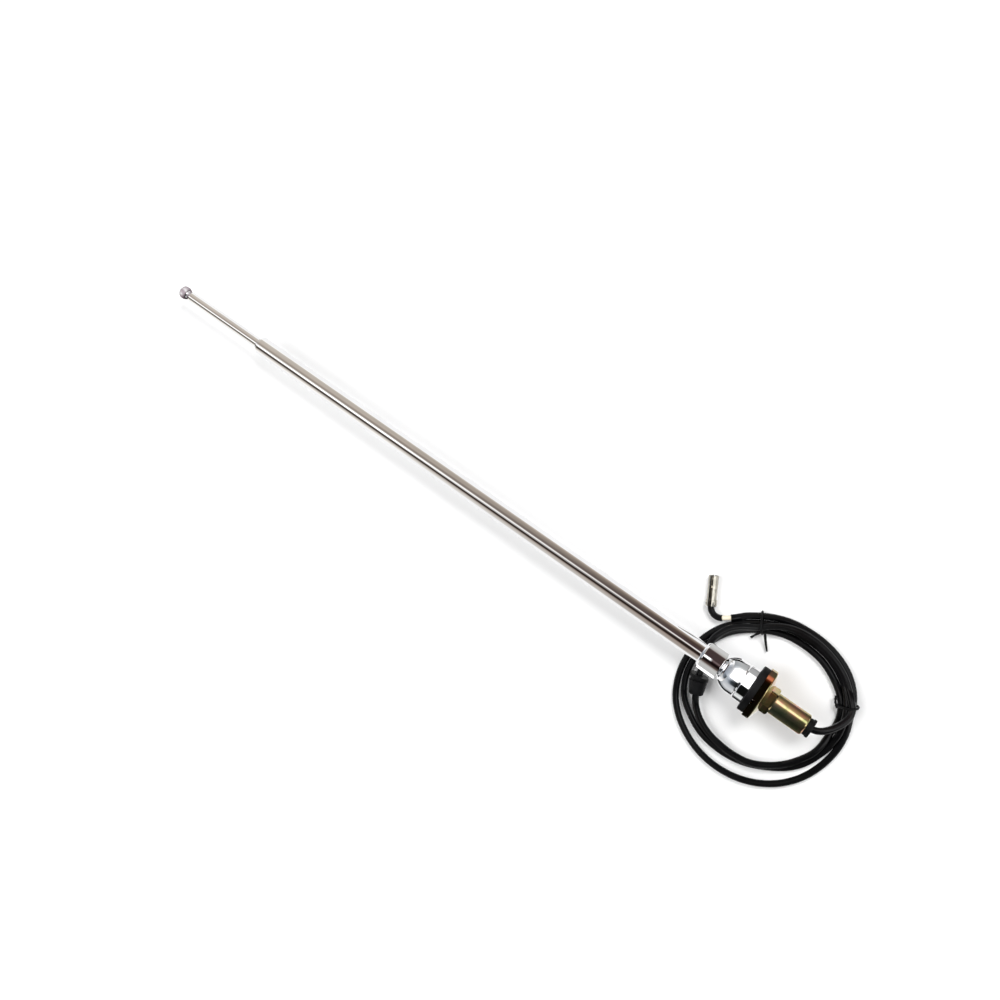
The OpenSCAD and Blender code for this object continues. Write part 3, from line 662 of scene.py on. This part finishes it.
def makeBand(name, plan):
    ringX, ringY = cablePlan["ring"]
    angle = math.radians(plan["angle"])
    corners = [Vector((seatX + ringX + r * math.cos(angle), ringY + r * math.sin(angle), z)) * mm
               for r, z in plan["band"]]
    band = smoothRoute(corners[-1:] + corners + corners[:2], tieWire["bandStep"])
    away = [(point - corners[0]).length for point in band]
    first = away.index(min(away))
    last = max(i for i, gap in enumerate(away) if gap < tieWire["meet"] * mm)
    makeCurve(name, band[first:last], tieWire["band"], "pvcTwistTie", "base", (plan["node"],), cyclic=True)


def makeTail(name, tail):
    # two wires twisted round each other
    middle = smoothRoute([Vector((seatX + x, y, z)) * mm for x, y, z in tail], tieWire["tailStep"])
    for half, letter in enumerate("ab"):
        strand, travelled = [], 0.0
        for i, point in enumerate(middle):
            before, after = middle[max(i - 1, 0)], middle[min(i + 1, len(middle) - 1)]
            along = (after - before).normalized()
            side = along.cross(Vector((0, 0, 1))).normalized()
            up = side.cross(along)
            travelled += (point - before).length / mm
            turn = 2 * math.pi * travelled / tieWire["pitch"] + math.pi * half
            strand.append(point + (side * math.cos(turn) + up * math.sin(turn)) * tieWire["twist"] * mm)
        makeCurve(name + letter, strand, tieWire["strand"], "pvcTwistTie", "base")


for name, plan in tiePlans.items():
    makeBand(name, plan)
    for number, tail in enumerate(plan["tails"]):
        makeTail("%sTail%d" % (name, number), tail)

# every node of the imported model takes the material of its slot
nodeMaterials = {entry["node"]: entry["material_slot"] for entry in frame["record"]["subparts"]}
for name, node in frame["nodes"].items():
    node.data.materials.clear()
    node.data.materials.append(slotMaterials[nodeMaterials[name]])


# Studio: white floor, soft light from above, and the room that the chrome reflects

# floorGlow is the share of the floor that the camera sees as plain white, fill is the world's light on the
# object, and windowPower says how near to white a mirrored band has to be to shine
studioPlan = {"floorSize": 6, "paper": "#F4F4F4", "white": "#FFFFFF", "floorGlow": 0.06, "fill": 0.22,
              "windowPower": 12.0}


def stagePiece(name, bm, materialName, unseenBy=()):
    mesh = bpy.data.meshes.new(name)
    bm.to_mesh(mesh)
    bm.free()
    piece = bpy.data.objects.new(name, mesh)
    bpy.context.scene.collection.objects.link(piece)
    mesh.materials.append(bpy.data.materials.new(materialName))
    for ray in unseenBy:
        setattr(piece, "visible_" + ray, False)
    return emptyTree(mesh.materials[0])


def makeFloor(plan):
    bm = bmesh.new()
    bmesh.ops.create_grid(bm, x_segments=1, y_segments=1, size=plan["floorSize"])
    tree = stagePiece("floor", bm, "paperSweep")
    paper = addNode(tree, "ShaderNodeBsdfDiffuse", {"Color": hexColor(plan["paper"])})
    glow = addNode(tree, "ShaderNodeEmission", {"Color": hexColor(plan["white"]), "Strength": 1.0})
    path = addNode(tree, "ShaderNodeLightPath")
    seen = addNode(tree, "ShaderNodeMath", {1: plan["floorGlow"]}, {0: path.outputs["Is Camera Ray"]},
                   operation="MULTIPLY")
    mirrored = addNode(tree, "ShaderNodeMath", links={0: seen.outputs[0], 1: path.outputs["Is Glossy Ray"]},
                       operation="MAXIMUM")
    mix = addNode(tree, "ShaderNodeMixShader", links={0: mirrored.outputs[0], 1: paper.outputs[0],
                  2: glow.outputs[0]})
    addNode(tree, "ShaderNodeOutputMaterial", links={"Surface": mix.outputs[0]})


makeFloor(studioPlan)

# What the mast mirrors, as a room of walls, window and dark: each row gives the bands of one slice across
# the room, as angles in degrees from straight up towards +Y, and how far along +X the slice lies. The bands
# turn by shift degrees for each unit along +X, as far as shiftTo
roomPlan = {
    "shift": 26, "shiftTo": 0.6, "windowGain": 0.9,
    "rows": [
        (-0.3, [(-180, "#FFFFFF"), (-96, "#D8D8D8"), (-84, "#A8A8A8"), (-60, "#E8E8E8"), (-30, "#FFFFFF"),
                (2, "#FFFFFF"), (8, "#202222"), (50, "#1C1E1E"), (66, "#A9ADAC"), (96, "#FFFFFF")]),
        (0.0, [(-180, "#FFFFFF"), (-96, "#F2F0EC"), (-88, "#B8B0A8"), (-80, "#4C3E3A"), (-50, "#443634"),
               (-24, "#483A3A"), (-15, "#5A4C4A"), (-12, "#F8F8F6"), (-2, "#FFFFFF"), (2, "#2A1E1C"),
               (20, "#1E1412"), (34, "#7A6C66"), (42, "#C0BCB8"), (70, "#C6C4C2"), (90, "#D8D8D8"),
               (96, "#FFFFFF")]),
        (0.05, [(-180, "#FFFFFF"), (-100, "#F2F0EC"), (-90, "#C9BDB2"), (-78, "#94867A"), (-64, "#66564C"),
                (-50, "#4A3B34"), (-26, "#46383A"), (-17, "#5A4C4A"), (-13, "#D8D2CC"), (-7, "#F4F2F0"),
                (-1, "#8A7E78"), (4, "#2A201C"), (26, "#241C18"), (34, "#6A5C54"), (42, "#A2948A"),
                (70, "#A49A92"), (86, "#C8C2BA"), (96, "#FFFFFF")]),
        (0.4, [(-180, "#FFFFFF"), (-100, "#F4F2EC"), (-92, "#CCC4BA"), (-78, "#B7AEA2"), (-50, "#C0B4A8"),
               (-32, "#8C8278"), (-20, "#A49A92"), (-12, "#F6F4F0"), (4, "#FFFFFF"), (11, "#8A8078"),
               (14, "#332A25"), (27, "#3A302B"), (38, "#B8AEA6"), (56, "#E8E4DC"), (96, "#FFFFFF")]),
        (0.62, [(-180, "#FFFFFF"), (-100, "#F4F2EC"), (-92, "#D6D0C8"), (-50, "#C8BEB2"), (-25, "#9C9288"),
                (-14, "#E8E4DE"), (4, "#FFFFFF"), (11, "#8A8078"), (18, "#3E3732"), (30, "#3E3732"),
                (40, "#C8C0B8"), (56, "#F0ECE6"), (96, "#FFFFFF")]),
        (0.72, [(-180, "#FFFFFF"), (-96, "#C8CCD2"), (-70, "#9CA0A8"), (-56, "#B4BAC2"), (2, "#B8C0CC"),
                (12, "#5A636A"), (42, "#4A5056"), (56, "#D0D2D6"), (96, "#FFFFFF")]),
        (0.98, [(-180, "#E4E6EA"), (-60, "#94989F"), (0, "#8A909A"), (60, "#A8ACB4"), (180, "#E4E6EA")]),
    ],
}

# Light tents round the base, the ferrule and the ball, seen by reflections only: a row's bands are angles in
# degrees round the axis, and it stands at a station along it, in mm
nutBands = [(-110, "#3A3630"), (-84, "#6A6050"), (-66, "#A07C58"), (-58, "#C89466"), (-52, "#EAC08E"),
            (-44, "#DEB080"), (-36, "#6A4C34"), (-14, "#5A5248"), (12, "#4A4A44"), (100, "#34362E")]
rimBands = [(-120, "#5A5C5C"), (-86, "#6A6A66"), (-77, "#F0B498"), (-69, "#FFBCA4"), (-63, "#6A3A28"),
            (-56, "#20180F"), (-46, "#141210"), (95, "#10100F"), (120, "#2A2A26")]
collarBands = [(-118, "#909090"), (-104, "#A8A8A8"), (-75, "#B0B0B0"), (-67, "#FFFFFF"), (1, "#FFFFFF"),
               (4, "#101212"), (52, "#0C0D0C"), (57, "#D0D4D2"), (78, "#E8EAE8"), (86, "#B0B2B2"),
               (92, "#383A3A"), (112, "#202222")]
baseTentPlan = {
    "radius": 45, "from": -75, "to": 54.0, "halfAngle": 120, "steps": 48, "gain": 1.4,
    "rows": [
        (-60, [(-110, "#706E70"), (-92, "#5C5650"), (-68, "#A88488"), (-50, "#D8B4B0"), (-44, "#FFFFFF"),
               (-28, "#FFFFFF"), (-19, "#8A7068"), (-12, "#625854"), (8, "#444444"), (41, "#2A2A28"),
               (84, "#50524A"), (104, "#6A6C68")]),
        (-19, [(-110, "#8A8690"), (-92, "#7C746C"), (-70, "#C8B8B0"), (-59, "#E0D0C8"), (-54, "#FFFFFF"),
               (-30, "#FFFFFF"), (-22, "#B0B4AC"), (-13, "#7C8288"), (7, "#4E5A62"), (41, "#333F44"),
               (84, "#47515D"), (104, "#6A6C68")]),
        (-17, [(-110, "#3A3630"), (-60, "#4A4238"), (-38, "#8A8070"), (-14, "#2A2A26"), (100, "#1C1E1A")]),
        (-15.5, nutBands), (-10.5, nutBands),
        (-9, rimBands), (1, rimBands),
        (4, collarBands), (15, collarBands),
        (17, [(-104, "#A8A8A8"), (-75, "#B8BABA"), (-60, "#FFFFFF"), (6, "#FFFFFF"), (10, "#181A1A"),
              (36, "#242626"), (42, "#B0B4B8"), (70, "#D8DADC"), (86, "#B0B2B4"), (92, "#2A2C2E"),
              (112, "#1A1C1C")]),
        (25, [(-104, "#B8BABA"), (-75, "#B4B6B6"), (-58, "#F4F6F8"), (-50, "#FFFFFF"), (4, "#FFFFFF"),
              (12, "#A0A8B0"), (20, "#3A4046"), (32, "#5A636A"), (46, "#C0C4C8"), (70, "#D8DADC"),
              (88, "#B0B2B4"), (95, "#2A2C2E"), (112, "#1A1C1C")]),
        (38, [(-104, "#B8BABA"), (-75, "#A8ACB0"), (-58, "#D4D8DC"), (-48, "#FFFFFF"), (2, "#FFFFFF"),
              (12, "#D0D6DE"), (24, "#98A0AA"), (46, "#C0C4C8"), (70, "#D8DADC"), (90, "#A0A4A8"),
              (98, "#2A2C2E")]),
        (54, [(-104, "#9A9C9E"), (-60, "#A4A8AC"), (-30, "#B4B8BE"), (0, "#C4CAD2"), (20, "#A8AEB6"),
              (46, "#C0C4C8"), (90, "#B0B4B8"), (98, "#2A2C2E")]),
    ],
}
ferruleLeft = [(-70, "#D0D0CE"), (-54.5, "#B8B4B0"), (-50.5, "#5A4A48"), (-45, "#463A38"), (-18, "#463838")]
ferruleRight = [(-2, "#0A0404"), (3, "#1A1010"), (8, "#4A3E3A"), (13, "#6A5C56"), (17, "#B0ACA8"),
                (23, "#CACAC8"), (44, "#C4C4C2"), (53, "#FFFFFF")]
ferruleTentPlan = {
    "radius": 14, "from": 35.0, "to": 53.5, "halfAngle": 104, "steps": 48, "gain": 0.9,
    "rows": [
        (44, [*ferruleLeft, (-12, "#7A6A6A"), (-6, "#2A1A1A"), *ferruleRight]),
        (46, [*ferruleLeft, (-14.5, "#FFFFFF"), (-8, "#FFFFFF"), (-5, "#2A1A1A"), *ferruleRight]),
    ],
}
ballTentPlan = {
    "radius": 7.2, "from": 685.5, "to": 700.5, "halfAngle": 150, "steps": 48, "gain": 0.0,
    "rows": [
        (686, [(-150, "#2A2226"), (-60, "#4A3E44"), (-20, "#6A5C62"), (20, "#2A2226"), (90, "#141012")]),
        (689, [(-150, "#8A8084"), (-90, "#A0949A"), (-60, "#C4B8BE"), (-35, "#FFFFFF"), (-15, "#C8B8C0"),
               (20, "#A0949A"), (60, "#5A4E54"), (110, "#3A3236")]),
        (693, [(-150, "#9A9094"), (-90, "#A8A0A4"), (-60, "#D0C6CA"), (-38, "#F4EEF0"), (-18, "#B0A0A6"),
               (5, "#D8CCD2"), (20, "#FFFFFF"), (40, "#B8A8AE"), (70, "#7A6C72"), (120, "#3A3236")]),
        (699, [(-150, "#4A4246"), (-90, "#6A5E64"), (-30, "#A89AA0"), (0, "#C0B0B6"), (40, "#9A8A90"),
               (90, "#4A3E44"), (140, "#2A2226")]),
    ],
}


def mirrorRows(tree, rows, place, angle):
    # bands across, one colour ramp a row, mixed from row to row by the place along +X: 6 and 7 are the
    # sockets of the mix node's two colours
    around = addNode(tree, "ShaderNodeMapRange", {"From Min": -math.pi, "From Max": math.pi},
                     {"Value": angle}).outputs[0]
    mixed, lastStation = None, 0
    for station, bands in rows:
        stops = [((degrees + 180) / 360, color) for degrees, color in bands]
        row = fillRamp(addNode(tree, "ShaderNodeValToRGB", links={"Fac": around}), stops).outputs[0]
        if mixed is None:
            mixed = row
        else:
            share = addNode(tree, "ShaderNodeMapRange", {"From Min": lastStation, "From Max": station},
                            {"Value": place})
            mixed = addNode(tree, "ShaderNodeMix", links={"Factor": share.outputs[0], 6: mixed, 7: row},
                            data_type="RGBA").outputs[2]
        lastStation = station
    return mixed


def windowStrength(tree, color, gain):
    # only what is nearly white shines brighter than paper, so that the zinc gets its highlight
    grey = addNode(tree, "ShaderNodeRGBToBW", links={0: color})
    peak = addNode(tree, "ShaderNodeMath", {1: studioPlan["windowPower"]}, {0: grey.outputs[0]},
                   operation="POWER")
    return addNode(tree, "ShaderNodeMath", {1: gain, 2: 1.0}, {0: peak.outputs[0]},
                   operation="MULTIPLY_ADD").outputs[0]


def makeRoom(plan, studio):
    world = bpy.data.worlds.new("room")
    bpy.context.scene.world = world
    tree = emptyTree(world)
    direction = addNode(tree, "ShaderNodeTexCoord").outputs["Generated"]
    parts = addNode(tree, "ShaderNodeSeparateXYZ", links={0: direction})
    angle = addNode(tree, "ShaderNodeMath", links={0: parts.outputs["Y"], 1: parts.outputs["Z"]},
                    operation="ARCTAN2")
    shift = addNode(tree, "ShaderNodeMapRange", {"From Max": plan["shiftTo"],
                    "To Max": math.radians(plan["shift"]) * plan["shiftTo"]}, {"Value": parts.outputs["X"]})
    turned = addNode(tree, "ShaderNodeMath", links={0: angle.outputs[0], 1: shift.outputs[0]},
                     operation="SUBTRACT")
    mirrored = mirrorRows(tree, plan["rows"], parts.outputs["X"], turned.outputs[0])
    path = addNode(tree, "ShaderNodeLightPath")
    reflected = addNode(tree, "ShaderNodeBackground", links={"Color": mirrored,
                        "Strength": windowStrength(tree, mirrored, plan["windowGain"])})
    fill, white = [addNode(tree, "ShaderNodeBackground", {"Color": hexColor(studio["white"]),
                           "Strength": strength}) for strength in (studio["fill"], 1.0)]
    lit = addNode(tree, "ShaderNodeMixShader", links={0: path.outputs["Is Glossy Ray"], 1: fill.outputs[0],
                  2: reflected.outputs[0]})
    seen = addNode(tree, "ShaderNodeMixShader", links={0: path.outputs["Is Camera Ray"], 1: lit.outputs[0],
                   2: white.outputs[0]})
    addNode(tree, "ShaderNodeOutputWorld", links={"Surface": seen.outputs[0]})


def makeTent(plan):
    # part of a cylinder round the mast's axis, as far each way from straight up as its half angle
    bm = bmesh.new()
    ends = [bm.verts.new(((seatX + plan[side]) * mm, 0, (axisZ + plan["radius"]) * mm))
            for side in ("from", "to")]
    edge = bm.edges.new(ends)
    half = math.radians(plan["halfAngle"])
    bmesh.ops.rotate(bm, cent=(0, 0, axisZ * mm), matrix=Matrix.Rotation(-half, 3, "X"), verts=ends)
    bmesh.ops.spin(bm, geom=ends + [edge], cent=(0, 0, axisZ * mm), axis=(1, 0, 0), angle=2 * half,
                   steps=plan["steps"])
    tree = stagePiece("lightTent", bm, "tentCloth",
                      unseenBy=("camera", "diffuse", "shadow", "transmission", "volume_scatter"))
    place = addNode(tree, "ShaderNodeTexCoord").outputs["Object"]
    parts = addNode(tree, "ShaderNodeSeparateXYZ", links={0: place})
    station = addNode(tree, "ShaderNodeMath", {1: 1 / mm, 2: -seatX}, {0: parts.outputs["X"]},
                      operation="MULTIPLY_ADD")
    height = addNode(tree, "ShaderNodeMath", {1: axisZ * mm}, {0: parts.outputs["Z"]}, operation="SUBTRACT")
    angle = addNode(tree, "ShaderNodeMath", links={0: parts.outputs["Y"], 1: height.outputs[0]},
                    operation="ARCTAN2")
    mirrored = mirrorRows(tree, plan["rows"], station.outputs[0], angle.outputs[0])
    glow = addNode(tree, "ShaderNodeEmission", links={"Color": mirrored,
                   "Strength": windowStrength(tree, mirrored, plan["gain"])})
    addNode(tree, "ShaderNodeOutputMaterial", links={"Surface": glow.outputs[0]})


makeRoom(roomPlan, studioPlan)
for plan in (baseTentPlan, ferruleTentPlan, ballTentPlan):
    makeTent(plan)

lampPlan = {
    "backLamp": {"place": (-0.4, -1.1, 1.25), "aim": (-0.3, 0.0, 0.0), "size": 0.8, "power": 26},
    "sideLamp": {"place": (0.55, 0.55, 1.3), "aim": (-0.2, 0.0, 0.0), "size": 1.6, "power": 22},
}


def makeLamps(plan):
    for name, lamp in plan.items():
        light = bpy.data.lights.new(name, "AREA")
        light.shape = "DISK"
        light.size = lamp["size"]
        light.energy = lamp["power"]
        placed = bpy.data.objects.new(name, light)
        placed.location = lamp["place"]
        placed.rotation_euler = (Vector(lamp["aim"]) - placed.location).to_track_quat("-Z", "Y").to_euler()
        placed.visible_glossy = False
        bpy.context.scene.collection.objects.link(placed)


makeLamps(lampPlan)
print("studio set")
